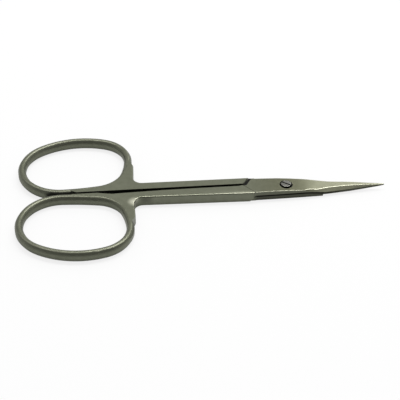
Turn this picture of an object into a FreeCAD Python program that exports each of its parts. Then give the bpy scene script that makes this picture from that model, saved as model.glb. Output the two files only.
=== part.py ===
import FreeCAD, Part
import math
import os
import Sketcher

# Cuticle scissors: two forged halves that cross in a lap joint, and the slotted screw that they turn on.
# Frame: origin under the screw on the surface that the scissors lie on, +X to the tips,
# +Z up to the screw's head, -Y the side of the handle that moves. Lengths are in millimetres.
# Both halves are drawn in the position of the upper one, and the lower one is then turned over about X.

SIZES = {
    # Forged stock, and how far the cuts run past the metal
    "stock": 2.9,
    "overrun": 3.0,
    "overrun_share": 0.5,
    # Finger ring: the middle of its bar follows a closed curve of arcs. The bar has a crown above and
    # below, with a bevel beside it that runs down to the upright sides
    "ring_front": 41.157,
    "ring_half_length": 14.111,
    "ring_apart": 0.038,
    "ring_bar": 2.05,
    "ring_crown": 1.2,
    "ring_crown_height": 0.2,
    "ring_bevel_height": 0.7,
    # Web and shank between ring and joint
    "web_rear": 57.0,
    "web_rear_side": 1.2,
    "web_full": 49.0,
    "web_hollow": 45.0,
    "web_hollow_side": 4.0,
    "web_ring": 41.2,
    "web_ring_side": 14.0,
    "web_front": 40.0,
    "web_bend": 39.75,
    "web_bend_side": 10.5,
    "web_corner": 2.3,
    "edge_break": 0.35,
    "shank_side_rear": 3.12,
    "shank_side_front": 3.4,
    "shank_front": 8.9,
    # Slanting gap between the two shanks
    "gap_width": 0.75,
    "gap_rear": 0.38,
    "gap_front": 0.52,
    # Notch and shoulders of the lap joint
    "apex_reach": 11.3,
    "wing_reach": 9.7,
    "cheek_reach": 8.4,
    "joint_side_rear": 3.05,
    "joint_side_pivot": 2.72,
    "shoulder_gap": 0.45,
    "shoulder_lean": 1.6,
    "joint_flat_depth": 0.12,
    "lap_clearance": 0.04,
    # Blades, seen from above
    "tip_reach": 26.0,
    "tip_side": 0.1,
    "blade_root": 10.0,
    "blade_root_side": 2.25,
    "blade_mid": 17.5,
    "blade_mid_side": 1.14,
    "edge_setback": 0.06,
    # Bow of the two inner faces, which is round about the pivot: radius and depth below the middle
    "bow_start": 3.5,
    "bow_knee": 4.7,
    "bow_knee_depth": 0.028,
    "bow_turn": 6.2,
    "bow_turn_depth": 0.113,
    "bow_deepest": 15.4,
    "bow_depth": 0.458,
    "bow_end_rise": 0.044,
    # Outer faces of the blades: height of each half's face above the middle of the stock
    "face_start": 7.5,
    "face_bend": 1.0,
    "face_break": 8.0,
    "face_mid": 17.0,
    "upper_face_bend": 1.17,
    "upper_face_break": 0.53,
    "upper_face_mid": 0.36,
    "upper_face_tip": 0.14,
    "lower_face_bend": 1.375,
    "lower_face_break": 1.34,
    "lower_face_mid": 1.25,
    "lower_face_tip": 0.16,
    # Ground bevel along the cutting edge: its run and drop, and its height in a plane beside the blade
    "bevel_run": 1.0,
    "bevel_drop": 0.65,
    "bevel_plane": 2.3,
    "bevel_start": 4.4,
    "bevel_runout": 6.0,
    "bevel_root": 7.9,
    "bevel_mid": 15.0,
    "upper_bevel_start": 1.06,
    "upper_bevel_runout": 0.43,
    "upper_bevel_root": 0.19,
    "upper_bevel_mid": -0.83,
    "upper_bevel_tip": -1.39,
    "lower_bevel_start": 1.6,
    "lower_bevel_runout": 0.97,
    "lower_bevel_root": 0.73,
    "lower_bevel_mid": 0.09,
    "lower_bevel_tip": -1.4,
    # Ground bevel along the back of the blade, given in the same way. The upper half's runs in over a few
    # millimetres, and the lower half's starts with a step
    "back_run": 1.0,
    "back_drop": 0.74,
    "back_plane": 2.27,
    "back_mid": 17.0,
    "upper_back_reach": 6.5,
    "upper_back_full": 11.3,
    "upper_back_start": 0.75,
    "upper_back_root": -0.1,
    "upper_back_mid": -0.49,
    "upper_back_tip": -1.1,
    "lower_back_reach": 9.1,
    "lower_back_full": 9.6,
    "lower_back_start": 4.0,
    "lower_back_root": 0.78,
    "lower_back_mid": 0.08,
    "lower_back_tip": -1.38,
    # Pivot screw and its holes
    "screw_neck": 1.0,
    "screw_thread": 0.95,
    "screw_head": 1.35,
    "screw_head_height": 0.8,
    "screw_head_round": 0.18,
    "screw_seat": 0.72,
    "screw_running": 0.05,
    "screw_head_gap": 0.38,
    "screw_seat_gap": 0.03,
    "thread_gap": 0.01,
    "slot_width": 0.42,
    "slot_depth": 0.35,
    "slot_turn": 35.0,
}

# The ring's arcs, from its front towards the other ring: where each starts, from the ring's middle, and its
# radius, all as shares of the half length. Each meets the next without a corner, so that the first
# places and the radii fix the rest. The side share is how far the curve reaches towards the other ring.
RING_SHARES = [
    (1.0, -0.1264, 1.4117),
    (0.9178, 0.3482, 0.6131),
    (0.4429, 0.7465, 4.5874),
    (-0.2235, 0.8101, 0.7598),
    (-0.644, -0.5933, 1.4192),
    (0.5606, -0.7369, 0.6437),
]
RING_FIXED_STARTS = 4
RING_SIDE_SHARE = 0.8103
BEND_DEGREE = 2
HALF_TURN = 180

# Places that follow from the sizes
PLACES = {
    "mid": "Sizes.stock / 2",
    "corner_share": "1 - sqrt(0.5)",
    "past": "Sizes.joint_side_rear + Sizes.overrun",
    "web_edge_mid": "(Sizes.shank_side_rear + Sizes.web_bend_side) / 2",
    "shank_edge_mid": "(Sizes.web_front + Sizes.shank_front) / 2",
    "past_tip": "Sizes.tip_reach + Sizes.overrun",
    "past_top": "Sizes.stock + Sizes.overrun",
    "hub": "Sizes.screw_neck / 2",
    "gap_rear_reach": "Sizes.web_rear + Sizes.overrun",
    "gap_rear_top": "-Sizes.gap_rear - Sizes.gap_width / 2",
    "gap_rear_bottom": "Sizes.gap_rear - Sizes.gap_width / 2",
    "gap_front_top": "Sizes.gap_front - Sizes.gap_width / 2",
    "gap_front_bottom": "-Sizes.gap_front - Sizes.gap_width / 2",
    "wing_end": "Sizes.wing_reach + (Sizes.wing_reach - Sizes.apex_reach) * Sizes.overrun_share",
    "wing_end_side": "Sizes.joint_side_rear + (Sizes.joint_side_rear - gap_front_top) * Sizes.overrun_share",
    "apex_reach_top": "Sizes.apex_reach",
    "apex_reach_bottom": "Sizes.apex_reach - Sizes.shoulder_lean * 2",
    "wing_end_top": "wing_end",
    "wing_end_bottom": "wing_end - Sizes.shoulder_lean * 2",
    "shoulder_apex": "Sizes.apex_reach + Sizes.shoulder_gap",
    "shoulder_end": "wing_end + Sizes.shoulder_gap",
    "cheek_end": "Sizes.cheek_reach + (Sizes.cheek_reach - Sizes.apex_reach) * Sizes.overrun_share",
    "cheek_end_side": "Sizes.joint_side_rear + (Sizes.joint_side_rear + gap_front_top) * Sizes.overrun_share",
    "edge_root_side": "Sizes.blade_root_side - Sizes.edge_setback",
    "edge_mid_side": "Sizes.blade_mid_side - Sizes.edge_setback",
    "lap_face": "mid + Sizes.lap_clearance / 2",
    "ring_middle_x": "Sizes.ring_front + Sizes.ring_half_length",
    "ring_side": f"{RING_SIDE_SHARE} * Sizes.ring_half_length",
    "ring_middle_y": "ring_side + Sizes.ring_bar / 2 + Sizes.ring_apart",
    "bar_inner": "-Sizes.ring_front - Sizes.ring_bar / 2",
    "bar_outer": "-Sizes.ring_front + Sizes.ring_bar / 2",
    "bar_low": "Sizes.ring_crown_height + Sizes.ring_bevel_height",
    "bar_high": "Sizes.stock - bar_low",
    "crown_inner": "-Sizes.ring_front - Sizes.ring_crown / 2",
    "crown_outer": "-Sizes.ring_front + Sizes.ring_crown / 2",
    "crown_high": "Sizes.stock - Sizes.ring_crown_height",
    "neck_hole": "Sizes.screw_neck + Sizes.screw_running",
    "thread_hole": "Sizes.screw_thread + Sizes.thread_gap",
    "head_hole": "Sizes.screw_head + Sizes.screw_head_gap",
    "seat_z": "mid + Sizes.screw_seat",
    "head_z": "seat_z + Sizes.screw_seat_gap",
    "head_top": "head_z + Sizes.screw_head_height",
    "head_shoulder": "head_top - Sizes.screw_head_round",
    "head_crown": "Sizes.screw_head - Sizes.screw_head_round",
    "head_round_side": "Sizes.screw_head - Sizes.screw_head_round * corner_share",
    "head_round_top": "head_top - Sizes.screw_head_round * corner_share",
    "head_recess_depth": "past_top - seat_z",
    "thread_end": "mid - Sizes.lap_clearance / 2",
    "screw_seat_run": "Sizes.screw_head + Sizes.slot_width",
    "slot_half": "Sizes.slot_width / 2",
}

# The same for each half. The lower one is drawn turned over, so that its inner face bows upward.
HALF_PLACES = {
    "{half}_bow_knee": "lap_face {down} Sizes.bow_knee_depth",
    "{half}_bow_turn": "lap_face {down} Sizes.bow_turn_depth",
    "{half}_bow_deepest": "lap_face {down} Sizes.bow_depth",
    "{half}_bow_end": "lap_face {up} Sizes.bow_end_rise",
}
HALF_HEIGHTS = [
    "face_bend", "face_break", "face_mid", "face_tip",
    "bevel_start", "bevel_runout", "bevel_root", "bevel_mid", "bevel_tip",
    "back_start", "back_root", "back_mid", "back_tip",
]
HALVES = {"upper": {"down": "-", "up": "+"}, "lower": {"down": "+", "up": "-"}}
for half, signs in HALVES.items():
    for name, formula in HALF_PLACES.items():
        PLACES[name.format(half=half)] = formula.format(**signs)
    for name in HALF_HEIGHTS:
        PLACES[f"{half}_{name}_z"] = f"mid + Sizes.{half}_{name}"
for index, (share_x, share_y, radius_share) in enumerate(RING_SHARES):
    PLACES[f"ring_{index}_x"] = f"({share_x}) * Sizes.ring_half_length - ring_middle_x"
    PLACES[f"ring_{index}_y"] = f"({share_y}) * Sizes.ring_half_length - ring_middle_y"
    PLACES[f"ring_{index}_radius"] = f"{radius_share} * Sizes.ring_half_length"

doc = FreeCAD.newDocument("CuticleScissors")

# The driving sizes, as cells with names
sizes = doc.addObject("Spreadsheet::Sheet", "Sizes")
for row, (name, size) in enumerate(SIZES.items(), start=1):
    sizes.set(f"A{row}", name)
    sizes.set(f"B{row}", str(size))
    sizes.setAlias(f"B{row}", name)
doc.recompute()

# The derived places, in a second sheet that reads the first
places = doc.addObject("Spreadsheet::Sheet", "Places")
for row, (name, formula) in enumerate(PLACES.items(), start=1):
    places.set(f"A{row}", name)
    places.set(f"B{row}", "=" + formula)
    places.setAlias(f"B{row}", name)
doc.recompute()


def link(name):
    """Expression for a named size or place, which may carry a minus sign."""
    sign = "-" if name.startswith("-") else ""
    plain = name.lstrip("-")
    return sign + ("Sizes." if plain in SIZES else "Places.") + plain


def value(name):
    """Its number now."""
    plain = name.lstrip("-")
    number = (sizes if plain in SIZES else places).get(plain)
    return -number if name.startswith("-") else number


def new_sketch(body, plane, label, offset=None):
    """Sketch on one of the body's own planes, moved along its normal by a named place."""
    sketch = body.newObject("Sketcher::SketchObject", label)
    origin_plane = [part for part in body.Origin.OriginFeatures if part.Role == plane][0]
    sketch.AttachmentSupport = [(origin_plane, "")]
    sketch.MapMode = "FlatFace"
    if offset:
        sketch.setExpression("AttachmentOffset.Base.z", link(offset))
    return sketch


def hold(sketch, constraint, name):
    """Adds a constraint that follows a named size or place."""
    index = sketch.addConstraint(constraint)
    sketch.setExpression(f"Constraints[{index}]", link(name))


def fix_point(sketch, geometry, end, x_name, y_name):
    """Holds a point at its named coordinates; None is the axis itself."""
    for kind, name, axis in (("DistanceX", x_name, -2), ("DistanceY", y_name, -1)):
        if name is None:
            sketch.addConstraint(Sketcher.Constraint("PointOnObject", geometry, end, axis))
        else:
            hold(sketch, Sketcher.Constraint(kind, geometry, end, value(name)), name)


def draw_outline(sketch, corners):
    """Closed outline of named corners (x, y). With two more names the edge that follows bends through
    that point halfway, and with "round" behind them it is an arc of a circle."""
    vectors = []
    for corner in corners:
        pairs = [corner[:2], corner[2:4]] if len(corner) > 2 else [corner]
        vectors.append([FreeCAD.Vector(*[value(name) if name else 0 for name in pair], 0) for pair in pairs])
    count = len(corners)
    ends = []
    edges = []
    for index, points in enumerate(vectors):
        target = vectors[(index + 1) % count][0]
        if len(points) == 1:
            edges.append(sketch.addGeometry(Part.LineSegment(points[0], target)))
            ends.append((1, 2))
        elif len(corners[index]) == 4:
            middle = points[1] * 2 - (points[0] + target) / 2
            curve = Part.BSplineCurve()
            curve.buildFromPoles([points[0], middle, target], False, BEND_DEGREE)
            edges.append(sketch.addGeometry(curve))
            ends.append((1, 2))
            sketch.exposeInternalGeometry(edges[-1])
            following = corners[(index + 1) % count]
            for kind, axis, number in (("DistanceX", 0, middle.x), ("DistanceY", 1, middle.y)):
                through, start, end = [
                    link(name) if name else "0"
                    for name in (corners[index][axis + 2], corners[index][axis], following[axis])
                ]
                pole = sketch.addConstraint(Sketcher.Constraint(kind, edges[-1] + 2, 3, number))
                sketch.setExpression(f"Constraints[{pole}]", f"2 * ({through}) - ({start} + {end}) / 2")
        else:
            ahead = (points[1] - points[0]).cross(target - points[1]).z > 0
            first_end, last_end = (points[0], target) if ahead else (target, points[0])
            edges.append(sketch.addGeometry(Part.Arc(first_end, points[1], last_end)))
            ends.append((1, 2) if ahead else (2, 1))
    for index, edge in enumerate(edges):
        following = (index + 1) % count
        sketch.addConstraint(
            Sketcher.Constraint("Coincident", edge, ends[index][1], edges[following], ends[following][0])
        )
        fix_point(sketch, edge, ends[index][0], *corners[index][:2])
        if len(corners[index]) == 5:
            place = sketch.addGeometry(Part.Point(vectors[index][1]), True)
            fix_point(sketch, place, 1, *corners[index][2:4])
            sketch.addConstraint(Sketcher.Constraint("PointOnObject", place, 1, edge))


def checked(feature, shrinks):
    """Recomputes, and stops if a feature failed or took or gave no metal."""
    doc.recompute()
    before = feature.BaseFeature.Shape.Volume if feature.BaseFeature else 0
    change = feature.Shape.Volume - before
    if not feature.isValid() or (change >= 0) == shrinks:
        raise RuntimeError(feature.Label + " failed")
    return feature


def rounded(body, base, label, radius, marks):
    """Rounds the edges of the base that lie nearest to the named marks."""
    names = []
    for mark in marks:
        spot = Part.Vertex(*[value(name) if name else 0 for name in mark])
        gaps = [edge.distToShape(spot)[0] for edge in base.Shape.Edges]
        names.append(f"Edge{gaps.index(min(gaps)) + 1}")
    fillet = body.newObject("PartDesign::Fillet", label)
    fillet.Base = (base, names)
    fillet.setExpression("Radius", link(radius))
    doc.recompute()
    if not fillet.isValid():
        raise RuntimeError(label + " failed")
    return fillet


def pocket(body, sketch, label, depth=None, reverse=False, direction=None):
    """Cut to a named depth, or right through both ways, square to the sketch or in a named direction."""
    cut = body.newObject("PartDesign::Pocket", label)
    cut.Profile = sketch
    cut.Reversed = reverse
    if depth:
        cut.setExpression("Length", link(depth))
    else:
        cut.SideType = "Symmetric"
        cut.setExpression("Length", link("past_tip"))
    if direction:
        cut.UseCustomVector = True
        cut.AlongSketchNormal = bool(depth)
        parts = {axis: link(name) if name else "0" for axis, name in zip("xyz", direction)}
        length = " + ".join(f"({part}) ^ 2" for part in parts.values())
        for axis, part in parts.items():
            cut.setExpression("Direction." + axis, f"({part}) / sqrt({length})")
    return checked(cut, shrinks=True)


def make_half(half):
    """One forged half, drawn as the upper one: its shank on the -Y side, its blade above the other."""
    body = doc.addObject("PartDesign::Body", half + "_half")

    # Web, shank, joint and blade in one outline
    outline = new_sketch(body, "XY_Plane", half + "_outline")
    draw_outline(outline, [
        ("-web_rear", "-web_rear_side"),
        ("-web_full", "joint_side_rear"),
        ("-wing_reach", "joint_side_rear", None, "joint_side_pivot"),
        ("blade_root", "blade_root_side", "blade_mid", "blade_mid_side"),
        ("tip_reach", "tip_side"),
        ("tip_reach", "-tip_side", "blade_mid", "-edge_mid_side"),
        ("blade_root", "-edge_root_side", None, "-joint_side_pivot"),
        ("-cheek_reach", "-joint_side_rear"),
        ("-shank_front", "-shank_side_front"),
        ("-web_front", "-shank_side_rear"),
        ("-web_bend", "-web_bend_side"),
        ("-web_ring", "-web_ring_side", "-web_hollow", "-web_hollow_side"),
    ])
    blank = body.newObject("PartDesign::Pad", half + "_blank")
    blank.Profile = outline
    blank.setExpression("Length", link("stock"))
    checked(blank, shrinks=False)

    # The corner between web and shank is rounded, and then the outer edges from ring to joint
    corner_mark = ("-web_front", "-shank_side_rear", "mid")
    corner = rounded(body, blank, half + "_web_corner", "web_corner", [corner_mark])
    edges = []
    for level in (None, "stock"):
        edges += [("-web_front", "-web_edge_mid", level), ("-shank_edge_mid", "-shank_side_rear", level)]
    rounded(body, corner, half + "_edge_break", "edge_break", edges)

    # The shank's inner side leans one way at the ring and the other at the joint
    gap_sketches = []
    for level, offset in (("bottom", None), ("top", "stock")):
        sketch = new_sketch(body, "XY_Plane", f"{half}_gap_{level}", offset)
        draw_outline(sketch, [
            ("-gap_rear_reach", "gap_rear_" + level),
            ("-apex_reach_" + level, "gap_front_" + level),
            ("-wing_end_" + level, "wing_end_side"),
            ("-gap_rear_reach", "wing_end_side"),
        ])
        gap_sketches.append(sketch)
    gap = body.newObject("PartDesign::SubtractiveLoft", half + "_gap_side")
    gap.Profile = gap_sketches[0]
    gap.Sections = [gap_sketches[1]]
    gap.Ruled = True
    checked(gap, shrinks=True)

    # Finger ring: its bar is swept round the closed curve
    path = new_sketch(body, "XY_Plane", half + "_ring_path", "mid")
    starts = []
    for index in range(len(RING_SHARES)):
        starts.append(FreeCAD.Vector(value(f"ring_{index}_x"), value(f"ring_{index}_y"), 0))
    arcs = []
    for index, start in enumerate(starts):
        end = starts[(index + 1) % len(starts)]
        radius = value(f"ring_{index}_radius")
        chord = end - start
        bulge = radius - math.sqrt(radius ** 2 - (chord.Length / 2) ** 2)
        outward = FreeCAD.Vector(chord.y, -chord.x, 0).normalize()
        arcs.append(path.addGeometry(Part.Arc(start, (start + end) / 2 + outward * bulge, end)))
    for index, arc in enumerate(arcs):
        path.addConstraint(Sketcher.Constraint("Tangent", arc, 2, arcs[(index + 1) % len(arcs)], 1))
    fix_point(path, arcs[0], 1, "ring_0_x", "ring_0_y")
    path.addConstraint(Sketcher.Constraint("Horizontal", arcs[0], 3, arcs[0], 1))
    for index, arc in enumerate(arcs):
        hold(path, Sketcher.Constraint("Radius", arc, value(f"ring_{index}_radius")), f"ring_{index}_radius")
        if 0 < index < RING_FIXED_STARTS:
            hold(path, Sketcher.Constraint("DistanceX", arc, 1, value(f"ring_{index}_x")), f"ring_{index}_x")
    bar = new_sketch(body, "XZ_Plane", half + "_ring_bar", "-ring_0_y")
    draw_outline(bar, [
        ("bar_inner", "bar_low"),
        ("bar_inner", "bar_high"),
        ("crown_inner", "crown_high", "-ring_front", "stock", "round"),
        ("crown_outer", "crown_high"),
        ("bar_outer", "bar_high"),
        ("bar_outer", "bar_low"),
        ("crown_outer", "ring_crown_height", "-ring_front", None, "round"),
        ("crown_inner", "ring_crown_height"),
    ])
    ring = body.newObject("PartDesign::AdditivePipe", half + "_ring")
    ring.Profile = bar
    ring.Spine = (path, [f"Edge{index}" for index in range(1, len(arcs) + 1)])
    ring.Mode = "Binormal"
    ring.Binormal = FreeCAD.Vector(0, 0, 1)
    checked(ring, shrinks=False)

    # Recess for the other half behind the pivot, with its slanting shoulder
    recess_sketch = new_sketch(body, "XY_Plane", half + "_recess_outline")
    draw_outline(recess_sketch, [
        ("hub", "past"),
        ("-shoulder_apex", "past"),
        ("-shoulder_apex", "-gap_front_top"),
        ("-shoulder_end", "-wing_end_side"),
        ("-shoulder_end", "-past"),
        ("hub", "-past"),
    ])
    pocket(body, recess_sketch, half + "_recess", depth="lap_face", direction=("shoulder_lean", None, "mid"))

    # Inner face of the blade: turned about the pivot, so that it clears the other at any opening
    bow_sketch = new_sketch(body, "XZ_Plane", half + "_bow_profile")
    draw_outline(bow_sketch, [
        ("hub", "-overrun"),
        ("hub", "lap_face"),
        ("bow_start", "lap_face", "bow_knee", half + "_bow_knee"),
        ("bow_turn", half + "_bow_turn", "bow_deepest", half + "_bow_deepest"),
        ("past_tip", half + "_bow_end"),
        ("past_tip", "-overrun"),
    ])
    bow = body.newObject("PartDesign::Groove", half + "_bow")
    bow.Profile = bow_sketch
    bow.ReferenceAxis = (bow_sketch, ["V_Axis"])
    bow.Angle = HALF_TURN
    bow.Midplane = True
    checked(bow, shrinks=True)

    # Joint and blade are ground a little below the shank, up to a slanting line
    flat_sketch = new_sketch(body, "XY_Plane", half + "_flat_outline", "stock")
    draw_outline(flat_sketch, [
        ("past_tip", "past"),
        ("-apex_reach", "past"),
        ("-apex_reach", "gap_front_top"),
        ("-cheek_end", "-cheek_end_side"),
        ("-cheek_end", "-past"),
        ("past_tip", "-past"),
    ])
    pocket(body, flat_sketch, half + "_flat", depth="joint_flat_depth")

    # Outer face: falls away from the joint, then thins to the tip
    face_sketch = new_sketch(body, "XZ_Plane", half + "_face_profile")
    draw_outline(face_sketch, [
        ("-face_start", "stock", "face_bend", half + "_face_bend_z"),
        ("face_break", half + "_face_break_z", "face_mid", half + "_face_mid_z"),
        ("tip_reach", half + "_face_tip_z"),
        ("past_tip", half + "_face_tip_z"),
        ("past_tip", "past_top"),
        ("-face_start", "past_top"),
    ])
    pocket(body, face_sketch, half + "_face")

    # Cutting bevel, which the grinding wheel enters in an arc
    bevel_sketch = new_sketch(body, "XZ_Plane", half + "_bevel_profile", "bevel_plane")
    draw_outline(bevel_sketch, [
        ("bevel_start", half + "_bevel_start_z", "bevel_runout", half + "_bevel_runout_z"),
        ("bevel_root", half + "_bevel_root_z", "bevel_mid", half + "_bevel_mid_z"),
        ("tip_reach", half + "_bevel_tip_z"),
        ("past_tip", half + "_bevel_tip_z"),
        ("past_tip", "past_top"),
        ("bevel_start", "past_top"),
    ])
    pocket(body, bevel_sketch, half + "_bevel", direction=(None, "-bevel_run", "-bevel_drop"))

    # Bevel along the back of the blade
    back_sketch = new_sketch(body, "XZ_Plane", half + "_back_profile", "-back_plane")
    draw_outline(back_sketch, [
        (half + "_back_reach", "past_top"),
        (half + "_back_reach", half + "_back_start_z"),
        (half + "_back_full", half + "_back_root_z", "back_mid", half + "_back_mid_z"),
        ("tip_reach", half + "_back_tip_z"),
        ("past_tip", half + "_back_tip_z"),
        ("past_tip", "past_top"),
    ])
    pocket(body, back_sketch, half + "_back", direction=(None, "-back_run", "back_drop"))
    return body


def round_cut(body, label, radius, offset=None, depth=None, reverse=False):
    """Round hole on the pivot axis."""
    sketch = new_sketch(body, "XY_Plane", label + "_circle", offset)
    sketch.addGeometry(Part.Circle(FreeCAD.Vector(), FreeCAD.Vector(0, 0, 1), value(radius)))
    sketch.addConstraint(Sketcher.Constraint("Coincident", 0, 3, -1, 1))
    hold(sketch, Sketcher.Constraint("Radius", 0, value(radius)), radius)
    return pocket(body, sketch, label, depth=depth, reverse=reverse)


# Upper half: the screw's neck turns in it, and the head sits in a round recess
upper_half = make_half("upper")
round_cut(upper_half, "neck_bore", "neck_hole")
round_cut(upper_half, "head_recess", "head_hole", offset="past_top", depth="head_recess_depth")

# Lower half: drawn turned over, threaded for the screw
lower_half = make_half("lower")
round_cut(lower_half, "thread_bore", "thread_hole")
lower_half.Placement.Rotation = FreeCAD.Rotation(FreeCAD.Vector(1, 0, 0), HALF_TURN)
lower_half.setExpression("Placement.Base.z", link("stock"))

# Pivot screw: turned head, neck and thread, then the slot
pivot_screw = doc.addObject("PartDesign::Body", "pivot_screw")
turned = new_sketch(pivot_screw, "XZ_Plane", "screw_profile")
draw_outline(turned, [
    (None, None),
    ("screw_thread", None),
    ("screw_thread", "thread_end"),
    ("screw_neck", "thread_end"),
    ("screw_neck", "head_z"),
    ("screw_head", "head_z"),
    ("screw_head", "head_shoulder", "head_round_side", "head_round_top", "round"),
    ("head_crown", "head_top"),
    (None, "head_top"),
])
screw = pivot_screw.newObject("PartDesign::Revolution", "screw_blank")
screw.Profile = turned
screw.ReferenceAxis = (turned, ["V_Axis"])
checked(screw, shrinks=False)
slot_sketch = new_sketch(pivot_screw, "XY_Plane", "slot_outline", "head_top")
draw_outline(slot_sketch, [
    ("-screw_seat_run", "-slot_half"),
    ("screw_seat_run", "-slot_half"),
    ("screw_seat_run", "slot_half"),
    ("-screw_seat_run", "slot_half"),
])
slot_sketch.AttachmentOffset.Rotation = FreeCAD.Rotation()
slot_sketch.setExpression("AttachmentOffset.Rotation.Angle", "-Sizes.slot_turn")
pocket(pivot_screw, slot_sketch, "slot", depth="slot_depth")

# Nothing is written unless every object and solid is sound
doc.recompute()
for part in doc.Objects:
    if "Invalid" in part.State or "Error" in part.State:
        raise RuntimeError(part.Label + " did not compute")
os.makedirs("parts", exist_ok=True)
for body in (upper_half, lower_half, pivot_screw):
    if body.Shape.isNull() or not body.Shape.isValid() or len(body.Shape.Solids) != 1:
        raise RuntimeError(body.Label + " is not one sound solid")
    body.Shape.exportStep(f"parts/{body.Label}.step")
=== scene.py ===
import math

import bmesh
import bpy
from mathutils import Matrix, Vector


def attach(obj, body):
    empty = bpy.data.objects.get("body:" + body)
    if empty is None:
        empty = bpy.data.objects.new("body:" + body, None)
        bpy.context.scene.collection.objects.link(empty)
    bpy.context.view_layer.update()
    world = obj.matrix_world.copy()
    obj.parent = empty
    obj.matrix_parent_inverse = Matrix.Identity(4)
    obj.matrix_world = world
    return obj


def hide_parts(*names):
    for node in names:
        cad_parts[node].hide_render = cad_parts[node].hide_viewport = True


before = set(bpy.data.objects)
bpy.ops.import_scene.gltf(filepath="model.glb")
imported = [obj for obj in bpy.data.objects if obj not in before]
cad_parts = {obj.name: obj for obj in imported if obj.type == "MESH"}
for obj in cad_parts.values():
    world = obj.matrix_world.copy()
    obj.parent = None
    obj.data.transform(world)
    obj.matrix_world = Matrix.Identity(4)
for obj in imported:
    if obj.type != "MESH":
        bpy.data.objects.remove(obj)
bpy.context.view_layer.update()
scene = bpy.context.scene

# Camera: a long lens about 35 cm away, 38 degrees above the table and almost square to the scissors,
# which lie with their tips to the right.
CAMERA_TARGET = Vector((-0.022869, -0.003552, 0.00145))
CAMERA_AZIMUTH = math.radians(-3.8945)
CAMERA_ELEVATION = math.radians(37.887)
CAMERA_DISTANCE = 0.34726
NEAREST_SEEN = 0.01
SENSOR = 36.0
FOCAL_PER_FRAME = 3.342375
toward_camera = Vector((
    math.sin(CAMERA_AZIMUTH) * math.cos(CAMERA_ELEVATION),
    -math.cos(CAMERA_AZIMUTH) * math.cos(CAMERA_ELEVATION),
    math.sin(CAMERA_ELEVATION),
))
camera_data = bpy.data.cameras.new("camera")
camera_data.sensor_width = SENSOR
camera_data.lens = SENSOR * FOCAL_PER_FRAME
camera_data.clip_start = NEAREST_SEEN
camera = bpy.data.objects.new("camera", camera_data)
camera.location = CAMERA_TARGET + toward_camera * CAMERA_DISTANCE
camera.rotation_euler = toward_camera.to_track_quat("Z", "Y").to_euler()
scene.collection.objects.link(camera)
scene.camera = camera
scene.view_settings.view_transform = "Standard"

# Table: a plain matt sheet of pale card that the closed scissors lie on. The camera sees it as white,
# with their soft shadow, and the steel mirrors it a little darker.
FLOOR_SIZE = 3.0
FLOOR_COLOR = (0.86, 0.86, 0.86, 1)
FLOOR_ROUGHNESS = 0.9
FLOOR_SEEN_WHITE = 0.8
FLOOR_MIRRORED_WHITE = 0.4
WHITE = (1, 1, 1, 1)
GLOW_STRENGTH = 1.0


class Shader:
    """A socket in a node tree. Sums, differences, products and absolute values add their Math nodes."""

    def __init__(self, tree, socket=None):
        self.tree = tree
        self.socket = socket

    def node(self, kind, settings=None, *values, output=0, **named):
        """Adds a node, sets it, fills its sockets in order or by name, and gives back an output."""
        node = self.tree.nodes.new(kind)
        for name, setting in (settings or {}).items():
            setattr(node, name, setting)
        sockets = list(zip(node.inputs, values))
        for name, value in named.items():
            sockets.append((self.find(node.inputs, name), value))
        for socket, value in sockets:
            if isinstance(value, Shader):
                self.tree.links.new(value.socket, socket)
            else:
                socket.default_value = value
        return Shader(self.tree, self.find(node.outputs, output) if node.outputs else None)

    @staticmethod
    def find(sockets, name):
        """The socket with this number, name or identifier."""
        if isinstance(name, int):
            return sockets[name]
        for socket in sockets:
            if name in (socket.identifier, socket.name.replace(" ", "_")):
                return socket
        raise KeyError(name)

    def _math(self, operation, *values):
        return self.node("ShaderNodeMath", {"operation": operation}, *values)

    def __add__(self, other):
        return self._math("ADD", self, other)

    def __radd__(self, other):
        return self._math("ADD", other, self)

    def __sub__(self, other):
        if isinstance(other, Vector):
            return self.node("ShaderNodeVectorMath", {"operation": "SUBTRACT"}, self, other)
        return self._math("SUBTRACT", self, other)

    def __rsub__(self, other):
        return self._math("SUBTRACT", other, self)

    def __mul__(self, other):
        if isinstance(other, Vector):
            return self.node("ShaderNodeVectorMath", {"operation": "MULTIPLY"}, self, other)
        return self._math("MULTIPLY", self, other)

    def __rmul__(self, other):
        return self._math("MULTIPLY", other, self)

    def __abs__(self):
        return self._math("ABSOLUTE", self)


def new_material(name):
    """A material with nothing in it yet, and the wrapper that adds its nodes."""
    material = bpy.data.materials.new(name)
    material.use_nodes = True
    material.node_tree.nodes.clear()
    return material, Shader(material.node_tree)


floor_mesh = bmesh.new()
bmesh.ops.create_grid(floor_mesh, x_segments=1, y_segments=1, size=FLOOR_SIZE)
floor_data = bpy.data.meshes.new("floor")
floor_mesh.to_mesh(floor_data)
floor_mesh.free()
floor = bpy.data.objects.new("floor", floor_data)
scene.collection.objects.link(floor)
pale_table, make = new_material("pale_table")
camera_ray = make.node("ShaderNodeLightPath", output="Is_Camera_Ray")
glossy_ray = make.node("ShaderNodeLightPath", output="Is_Glossy_Ray")
clear_ray = make.node("ShaderNodeLightPath", output="Is_Transmission_Ray")
white_share = camera_ray * FLOOR_SEEN_WHITE + (glossy_ray + clear_ray) * FLOOR_MIRRORED_WHITE
card = make.node("ShaderNodeBsdfPrincipled", Base_Color=FLOOR_COLOR, Roughness=FLOOR_ROUGHNESS)
glow = make.node("ShaderNodeEmission", Color=WHITE, Strength=GLOW_STRENGTH)
sheet = make.node("ShaderNodeMixShader", None, white_share, card, glow)
make.node("ShaderNodeOutputMaterial", Surface=sheet)
floor_data.materials.append(pale_table)

# Light: a soft grey studio that is brighter behind the scissors, with three soft panels: one over
# their far side, one to the right of it, and one farther off behind the tips.
STUDIO_MIDDLE = 0.55
STUDIO_FALL = 0.38
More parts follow.
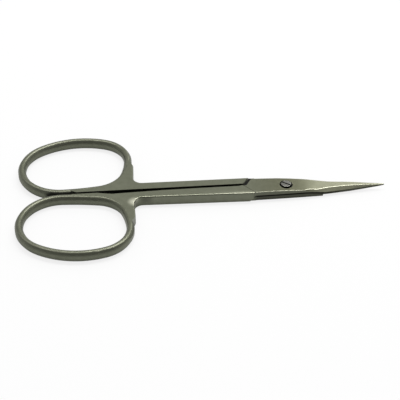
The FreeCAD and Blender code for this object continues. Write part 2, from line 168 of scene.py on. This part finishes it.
# Each panel's place, its two sides and its watts
SOFT_PANELS = {
    "top_panel": ((0.05, 0.27, 0.75), (0.5, 0.2), 3.2),
    "side_panel": ((0.42, 0.28, 0.7), (0.25, 0.25), 1.2),
    "tip_panel": ((0.35, 0.72, 0.52), (0.3, 0.3), 0.6),
}
world = bpy.data.worlds.new("studio")
world.use_nodes = True
scene.world = world
make = Shader(world.node_tree)
toward = make.node("ShaderNodeTexCoord", output="Generated")
toward_y = make.node("ShaderNodeSeparateXYZ", None, toward, output="Y")
strength = toward_y * STUDIO_FALL + STUDIO_MIDDLE
background = world.node_tree.nodes["Background"]
world.node_tree.links.new(strength.socket, background.inputs["Strength"])
background.inputs["Color"].default_value = WHITE
for name, (spot, sides, watts) in SOFT_PANELS.items():
    data = bpy.data.lights.new(name, "AREA")
    data.shape = "RECTANGLE"
    data.size, data.size_y = sides
    data.energy = watts
    panel = bpy.data.objects.new(name, data)
    panel.location = spot
    panel.rotation_euler = (Vector(spot) - CAMERA_TARGET).to_track_quat("Z", "Y").to_euler()
    scene.collection.objects.link(panel)

# Lower half and upper half: two forgings of stainless steel, each a finger ring, shank and blade in
# one. They are ground flat, their edges broken by hand, and finished satin, with brighter blades.

# Corners nearer than MERGE are one corner, and facets that differ by less than these angles are one
# face. The second angle is for the blades, past BLADE_FROM.
MERGE = 2e-6
FLAT_ANGLE = math.radians(0.5)
BLADE_FLAT_ANGLE = math.radians(1.5)
BLADE_FROM = 0.0043

# Forms run into each other along these stretches of joint and blade, so all is shaded smooth there.
# Elsewhere small and narrow faces are, and edges up to these angles, the second in the rings.
JOINT_BLEND = (-0.0081, 0.0012)
BLADE_BLEND = (0.0042, 0.018)
PLANE_AREA = 3e-6
PLANE_WIDTH = 0.0004
LEVEL = 0.99999
LEVEL_AREA = 5e-7
SHARP_ANGLE = math.radians(28)
RING_SHARP_ANGLE = math.radians(60)
RING_FROM = -0.0412

# The edges of joint and blades that border a nearly level face are broken, less on narrow faces and
# toward the tip, and those on the upper side get a painted highlight
EDGE_BREAK = 0.00013
BREAK_SEGMENTS = 2
LAND = 0.94
BROKEN_FROM = -0.0082
NARROW_SHARE = 0.3
TIP_TAPER = 0.016
BRIGHT_FROM = 0.0016

# The near shank's top edge along the gap is worn between the first and the last of these cuts
INNER_EDGE_CUTS = (-0.0495, -0.0475, -0.0455, -0.043, -0.032, -0.022, -0.0125, -0.0116)
INNER_EDGE_REACH = 0.0007
INNER_EDGE_LOW = 0.0022
INNER_EDGE_HIGH = 0.0029
INNER_EDGE_WEAR = 0.00022
INNER_EDGE_REAR_WEAR = 0.0004
INNER_EDGE_EVEN = -0.022
INNER_EDGE_RUN = 0.02
INNER_EDGE_FADE = 0.004
INNER_EDGE_END = 0.0009


def cut_across(shape, places):
    """Adds edges all round the shape at these places along it."""
    for place in places:
        geometry = shape.verts[:] + shape.edges[:] + shape.faces[:]
        bmesh.ops.bisect_plane(
            shape, geom=geometry, dist=MERGE, plane_co=(place, 0, 0), plane_no=(1, 0, 0)
        )


def wear_inner_edge(shape):
    """Rubs back the top edge of the gap on the near shank, most of all near the ring."""
    cut_across(shape, INNER_EDGE_CUTS)
    first, last = INNER_EDGE_CUTS[0], INNER_EDGE_CUTS[-1]
    for vert in shape.verts:
        x, y, z = vert.co
        if first < x < last and abs(y) < INNER_EDGE_REACH and z > INNER_EDGE_LOW:
            rear = max(0, (INNER_EDGE_EVEN - x) / INNER_EDGE_RUN)
            ends = min(1, (x - first) / INNER_EDGE_FADE, (last - x) / INNER_EDGE_END)
            wear = (INNER_EDGE_WEAR + INNER_EDGE_REAR_WEAR * rear ** 2) * ends
            vert.co.y -= wear * (z - INNER_EDGE_LOW) / (INNER_EDGE_HIGH - INNER_EDGE_LOW)


def width_of(face):
    """About how wide a face is, across its longest side."""
    return face.calc_area() / max(edge.calc_length() for edge in face.edges)


def finished_copy(node, edge_break):
    """The node's own mesh as one merged skin, smooth but for its real edges, which are broken."""
    shape = bmesh.new()
    shape.from_mesh(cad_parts[node].data)
    bmesh.ops.remove_doubles(shape, verts=shape.verts, dist=MERGE)
    bmesh.ops.dissolve_limit(
        shape, angle_limit=FLAT_ANGLE, use_dissolve_boundaries=False,
        verts=shape.verts, edges=shape.edges,
    )
    if node != "pivot_screw":
        joint_from, joint_to = JOINT_BLEND
        blade_from, blade_to = BLADE_BLEND
        cut_across(shape, (joint_from, joint_to, blade_from))
        blade_verts = [vert for vert in shape.verts if vert.co.x > BLADE_FROM]
        blade_edges = [edge for edge in shape.edges if min(v.co.x for v in edge.verts) > BLADE_FROM]
        bmesh.ops.dissolve_limit(
            shape, angle_limit=BLADE_FLAT_ANGLE, use_dissolve_boundaries=False,
            verts=blade_verts, edges=blade_edges,
        )
        cut_across(shape, (blade_to,))
    if node == "upper_half":
        wear_inner_edge(shape)
    bright = shape.edges.layers.float.new("bright_break")
    plain = shape.edges.layers.float.new("plain_break")
    tip = max(vert.co.x for vert in shape.verts)
    for face in shape.faces:
        middle = face.calc_center_median().x
        blends = any(start < middle < end for start, end in (JOINT_BLEND, BLADE_BLEND))
        small = face.calc_area() < (LEVEL_AREA if abs(face.normal.z) > LEVEL else PLANE_AREA)
        face.smooth = blends or small or width_of(face) < PLANE_WIDTH
    for edge in shape.edges:
        in_ring = max(vert.co.x for vert in edge.verts) < RING_FROM
        edge.smooth = edge.calc_face_angle(0) < (RING_SHARP_ANGLE if in_ring else SHARP_ANGLE)
        by_land = max((abs(face.normal.z) for face in edge.link_faces), default=0) > LAND
        from_joint = min(vert.co.x for vert in edge.verts) > BROKEN_FROM
        if not edge.smooth and edge.is_convex and by_land and from_joint:
            narrowest = min(width_of(face) for face in edge.link_faces)
            taper = (tip - edge.verts[0].co.x) / TIP_TAPER
            share = min(1, max(0, taper), narrowest * NARROW_SHARE / edge_break)
            edge[bright if edge.verts[0].co.z > BRIGHT_FROM else plain] = share
    data = bpy.data.meshes.new(node + "_finished")
    shape.to_mesh(data)
    shape.free()
    piece = bpy.data.objects.new(node + "_finished", data)
    scene.collection.objects.link(piece)
    # Bright breaks take the second material, a painted highlight, and plain ones the material that they
    # lie in
    for name, material_index in (("bright_break", 1), ("plain_break", -1)):
        broken = piece.modifiers.new(name, "BEVEL")
        broken.width = edge_break
        broken.segments = BREAK_SEGMENTS
        broken.limit_method = "WEIGHT"
        broken.edge_weight = name
        broken.material = material_index
        broken.use_clamp_overlap = False
        broken.harden_normals = True
    return piece


def rise(value, zero_at, one_at):
    """0 up to one value, 1 beyond the other, and a soft step between. The first may be the greater."""
    return value.node(
        "ShaderNodeMapRange", {"interpolation_type": "SMOOTHSTEP"}, value, zero_at, one_at, 0.0, 1.0
    )


def blended(share, first, second, blend="MIX"):
    """Two colours mixed by a share."""
    return share.node(
        "ShaderNodeMix", {"data_type": "RGBA", "blend_type": blend}, share,
        A_Color=first, B_Color=second, output="Result_Color",
    )


def part_of(vector, axis):
    """A vector's part along one axis."""
    return vector.node("ShaderNodeSeparateXYZ", None, vector, output=axis)


def length_of(vector):
    """How long a vector is."""
    return vector.node("ShaderNodeVectorMath", {"operation": "LENGTH"}, vector, output="Value")


satin_steel, make = new_material("satin_steel")
place = make.node("ShaderNodeTexCoord", output="Object")
outward = make.node("ShaderNodeTexCoord", output="Normal")
along = part_of(place, "X")
across = part_of(place, "Y")
height = part_of(place, "Z")
lean_along = abs(part_of(outward, "X"))
lean_across = abs(part_of(outward, "Y"))
level = abs(part_of(outward, "Z"))

# Blades are polished brighter, sides and rings stay darker, and the sides of joint and blades carry
# painted shade. Here and below, each mask starts at the first value of its pair and is full at the
# second.
JOINT_EDGE = (-0.0088, -0.0078)
JOINT_TOP_RUN = (-0.014, 0.001)
BLADE_RUN = (0.003, 0.011)
RING_RUN = (-0.041, -0.047)
SIDE_LEAN = (0.8, 0.6)
JOINT_SIDE_UPPER = (0.0014, 0.0017)
JOINT_SIDE_UPPER_SHARE = 0.5
joint = rise(along, *JOINT_EDGE)
joint_top = rise(along, *JOINT_TOP_RUN)
blade = rise(along, *BLADE_RUN)
ring = rise(along, *RING_RUN)
side = rise(level, *SIDE_LEAN)
# Painted shade: the sides of joint and blades are darker, and the upper half's side above the seam half
# as much
joint_side_shade = joint * (1.0 - rise(height, *JOINT_SIDE_UPPER) * JOINT_SIDE_UPPER_SHARE)

# Painted highlights, a bright colour in place of light caught on the fillets of the shanks, the web's
# corner, the near edge before the joint, and the slopes of the rings
FILLET_STEEP = (0.5, 0.75)
FILLET_LEVEL = (0.99, 0.95)
FILLET_REAR = (-0.0385, -0.037)
FILLET_FRONT = (-0.0075, -0.0085)
FILLET_SHARE = 0.22
WEB_CORNER = (-0.0398, -0.0049, 0.0028)
WEB_CORNER_REACH = (0.0023, 0.0004)
WEB_CORNER_SHARE = 0.75
NEAR_EDGE_ACROSS = (-0.0019, -0.0031)
NEAR_EDGE_REAR = (-0.024, -0.0095)
NEAR_EDGE_FRONT = (-0.0078, -0.0084)
NEAR_EDGE_LEVEL = (0.5, 0.9)
NEAR_EDGE_SHARE = 0.22
SHEEN_ACROSS = (0.06, 0.25)
SHEEN_LEVEL = (0.7, 0.9)
SHEEN_ALONG = (0.0, 0.2)
SHEEN_ALONG_SHARE = 0.7
SHEEN_SHARE = 0.18
fillet_highlight = rise(level, *FILLET_STEEP) * rise(level, *FILLET_LEVEL) * rise(along, *FILLET_REAR)
fillet_highlight = fillet_highlight * rise(along, *FILLET_FRONT)
web_corner_highlight = rise(length_of(place - Vector(WEB_CORNER)), *WEB_CORNER_REACH)
near_edge_highlight = rise(across, *NEAR_EDGE_ACROSS) * rise(along, *NEAR_EDGE_REAR)
near_edge_highlight = near_edge_highlight * rise(along, *NEAR_EDGE_FRONT) * rise(level, *NEAR_EDGE_LEVEL)
sheen_along = rise(lean_along, *SHEEN_ALONG) * SHEEN_ALONG_SHARE + (1 - SHEEN_ALONG_SHARE)
sheen = rise(lean_across, *SHEEN_ACROSS) * rise(level, *SHEEN_LEVEL) * sheen_along * ring
painted_highlights = web_corner_highlight * WEB_CORNER_SHARE + near_edge_highlight * NEAR_EDGE_SHARE + sheen * SHEEN_SHARE

# Painted shade on the inner sides of shanks and rings where they face each other, and in the hollow
# beside the web's corner
GAP_ACROSS = (0.0014, 0.0013)
GAP_REAR = (-0.053, -0.049)
GAP_FRONT = (-0.0088, -0.0092)
RING_CONTACT_ACROSS = (0.0010, 0.0006)
RING_CONTACT_FRONT = (-0.0495, -0.0515)
WEB_HOLLOW = (-0.0368, -0.0036, 0.0022)
WEB_HOLLOW_REACH = (0.0024, 0.0004)
WEB_HOLLOW_SHARE = 0.55
gap_side = side * rise(abs(across), *GAP_ACROSS) * rise(along, *GAP_FRONT) * rise(along, *GAP_REAR)
ring_side = rise(abs(across), *RING_CONTACT_ACROSS) * rise(along, *RING_CONTACT_FRONT) * side
web_hollow = rise(length_of(place - Vector(WEB_HOLLOW)), *WEB_HOLLOW_REACH) * side
painted_side_shade = gap_side + ring_side + web_hollow * WEB_HOLLOW_SHARE

# Painted shade darkens the recess round the screw, the seam where the blades meet, which dips toward
# the tip, and the corners along both shoulders, whose lines are given by their direction and place
RECESS_RADIUS = (0.00178, 0.00174)
RECESS_HEIGHT = (0.0020, 0.0021)
SEAM_HEIGHT = 0.00145
SEAM_DIP = 0.00042
SEAM_DIP_RUN = (0.0045, 0.011)
SEAM_WIDTH = (0.0003, 0.00017)
SEAM_FRONT = (0.016, 0.0105)
SEAM_ACROSS = (-0.0002, -0.0004)
NEAR_SHOULDER_ALONG = 0.7404
NEAR_SHOULDER_ACROSS = 0.6722
NEAR_SHOULDER_PLACE = 0.00827
NEAR_SHOULDER_WIDTH = (0.0002, 0.00005)
NEAR_SHOULDER_END = (0.0003, 0.0001)
NEAR_SHOULDER_SHARE = 0.8
FAR_SHOULDER_ALONG = 0.8777
FAR_SHOULDER_ACROSS = 0.479
FAR_SHOULDER_PLACE = 0.009852
FAR_SHOULDER_WIDTH = (0.0006, 0.0004)
FAR_SHOULDER_END = (0.0001, 0.0003)
SHOULDER_LINE_SHIFT = 0.0001
SHOULDER_HEIGHT = (0.0026, 0.0027)
SHOULDER_REAR = (-0.0125, -0.0115)
SHOULDER_FRONT = (-0.0078, -0.0082)
recess = rise(length_of(place * Vector((1, 1, 0))), *RECESS_RADIUS) * rise(height, *RECESS_HEIGHT)
meeting = height + rise(along, *SEAM_DIP_RUN) * SEAM_DIP
seam = rise(abs(meeting - SEAM_HEIGHT), *SEAM_WIDTH) * joint * rise(along, *SEAM_FRONT)
seam = seam * (rise(across, *SEAM_ACROSS) * side)
near_step = along * NEAR_SHOULDER_ALONG + across * NEAR_SHOULDER_ACROSS + NEAR_SHOULDER_PLACE
near_line = rise(abs(near_step - SHOULDER_LINE_SHIFT), *NEAR_SHOULDER_WIDTH)
near_line = near_line * rise(across, *NEAR_SHOULDER_END)
far_step = along * FAR_SHOULDER_ALONG - across * FAR_SHOULDER_ACROSS + FAR_SHOULDER_PLACE
far_line = rise(abs(far_step - SHOULDER_LINE_SHIFT), *FAR_SHOULDER_WIDTH)
far_line = far_line * rise(across, *FAR_SHOULDER_END)
shoulder = (near_line * NEAR_SHOULDER_SHARE + far_line) * rise(height, *SHOULDER_HEIGHT)
shoulder = shoulder * rise(along, *SHOULDER_REAR) * rise(along, *SHOULDER_FRONT)
painted_line_shade = recess + seam + shoulder

# The satin finish is a fine grain, with a faint mottle of handling over it
STEEL_COLOR = (0.145, 0.152, 0.11, 1)
BLADE_COLOR = (0.27, 0.272, 0.195, 1)
SIDE_COLOR = (0.16, 0.168, 0.126, 1)
JOINT_COLOR = (0.112, 0.114, 0.073, 1)
JOINT_SIDE_SHADE_COLOR = (0.072, 0.075, 0.058, 1)
RING_COLOR = (0.123, 0.129, 0.094, 1)
HIGHLIGHT_COLOR = (0.62, 0.62, 0.5, 1)
SIDE_SHADE_COLOR = (0.045, 0.046, 0.038, 1)
DEEP_SHADE_COLOR = (0.008, 0.008, 0.007, 1)
MOTTLE_COLOR = (0.6, 0.62, 0.56, 1)
MOTTLE_SHARE = 0.8
MOTTLE_FROM = 0.35
MOTTLE_SCALE = 700.0
MOTTLE_DETAIL = 3.0
GRAIN_SCALE = 9000.0
GRAIN_DETAIL = 2.0
GRAIN_MIDDLE = 0.5
GRAIN_ROUGHNESS = 0.12
GRAIN_STRENGTH = 0.06
GRAIN_DEPTH = 0.00002
STEEL_ROUGHNESS = 0.34
RING_ROUGHNESS = 0.14
METAL = 1.0
mottle = make.node("ShaderNodeTexNoise", Vector=place, Scale=MOTTLE_SCALE, Detail=MOTTLE_DETAIL)
grain = make.node("ShaderNodeTexNoise", Vector=place, Scale=GRAIN_SCALE, Detail=GRAIN_DETAIL)
color = blended(joint_top, STEEL_COLOR, JOINT_COLOR)
color = blended(blade, color, BLADE_COLOR)
color = blended(ring, color, RING_COLOR)
color = blended(side, color, blended(joint_side_shade, SIDE_COLOR, JOINT_SIDE_SHADE_COLOR))
# Painted highlights on fillets, web corner, near edge and ring slopes
color = blended(fillet_highlight * FILLET_SHARE, color, HIGHLIGHT_COLOR)
color = blended(painted_highlights, color, HIGHLIGHT_COLOR)
color = blended((mottle - MOTTLE_FROM) * MOTTLE_SHARE, color, MOTTLE_COLOR, "MULTIPLY")
# Painted shade in the gap between the shanks, between the rings and in the web's hollow
color = blended(painted_side_shade, color, SIDE_SHADE_COLOR)
# Painted shade in the screw's recess, along the seam and along the shoulders
color = blended(painted_line_shade, color, DEEP_SHADE_COLOR)
roughness = (grain - GRAIN_MIDDLE) * GRAIN_ROUGHNESS + ring * RING_ROUGHNESS + STEEL_ROUGHNESS
bump = make.node("ShaderNodeBump", Strength=GRAIN_STRENGTH, Distance=GRAIN_DEPTH, Height=grain)
surface = make.node(
    "ShaderNodeBsdfPrincipled", Base_Color=color, Metallic=METAL, Roughness=roughness, Normal=bump
)
make.node("ShaderNodeOutputMaterial", Surface=surface)

# Broken edges on the upper side get a painted highlight, a bright colour in place of the light they
# catch
EDGE_ROUGHNESS = 0.3
EDGE_GRAIN_SCALE = 3000.0
bright_edge, make = new_material("bright_edge")
place = make.node("ShaderNodeTexCoord", output="Object")
grain = make.node("ShaderNodeTexNoise", Vector=place, Scale=EDGE_GRAIN_SCALE, Detail=GRAIN_DETAIL)
color = blended(grain, HIGHLIGHT_COLOR, BLADE_COLOR)
surface = make.node(
    "ShaderNodeBsdfPrincipled", Base_Color=color, Metallic=METAL, Roughness=EDGE_ROUGHNESS
)
make.node("ShaderNodeOutputMaterial", Surface=surface)

for node, body in (("lower_half", "lower_scissor"), ("upper_half", "upper_scissor")):
    half = finished_copy(node, EDGE_BREAK)
    half.data.materials.append(satin_steel)
    half.data.materials.append(bright_edge)
    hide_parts(node)
    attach(half, body)

# Pivot screw: turned from steel bar and polished, with painted shade in its slot and below its rim. It
# passes the upper half and is screwed into the lower one.
SCREW_COLOR = (0.2, 0.2, 0.18, 1)
SCREW_TOP = (0.00287, 0.00294)
SCREW_ROUGHNESS = 0.22
SCREW_GRAIN_SCALE = 6000.0
SCREW_EDGE_BREAK = 0.00003
polished_steel, make = new_material("polished_steel")
place = make.node("ShaderNodeTexCoord", output="Object")
grain = make.node("ShaderNodeTexNoise", Vector=place, Scale=SCREW_GRAIN_SCALE, Detail=GRAIN_DETAIL)
# Painted shade in the slot and below the rim, where the height is under the head's top
color = blended(rise(part_of(place, "Z"), *SCREW_TOP), DEEP_SHADE_COLOR, SCREW_COLOR)
roughness = (grain - GRAIN_MIDDLE) * GRAIN_ROUGHNESS + SCREW_ROUGHNESS
surface = make.node("ShaderNodeBsdfPrincipled", Base_Color=color, Metallic=METAL, Roughness=roughness)
make.node("ShaderNodeOutputMaterial", Surface=surface)
screw = finished_copy("pivot_screw", SCREW_EDGE_BREAK)
# Its broken edges take the second material, which is the same steel
screw.data.materials.append(polished_steel)
screw.data.materials.append(polished_steel)
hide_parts("pivot_screw")
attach(screw, "lower_scissor")
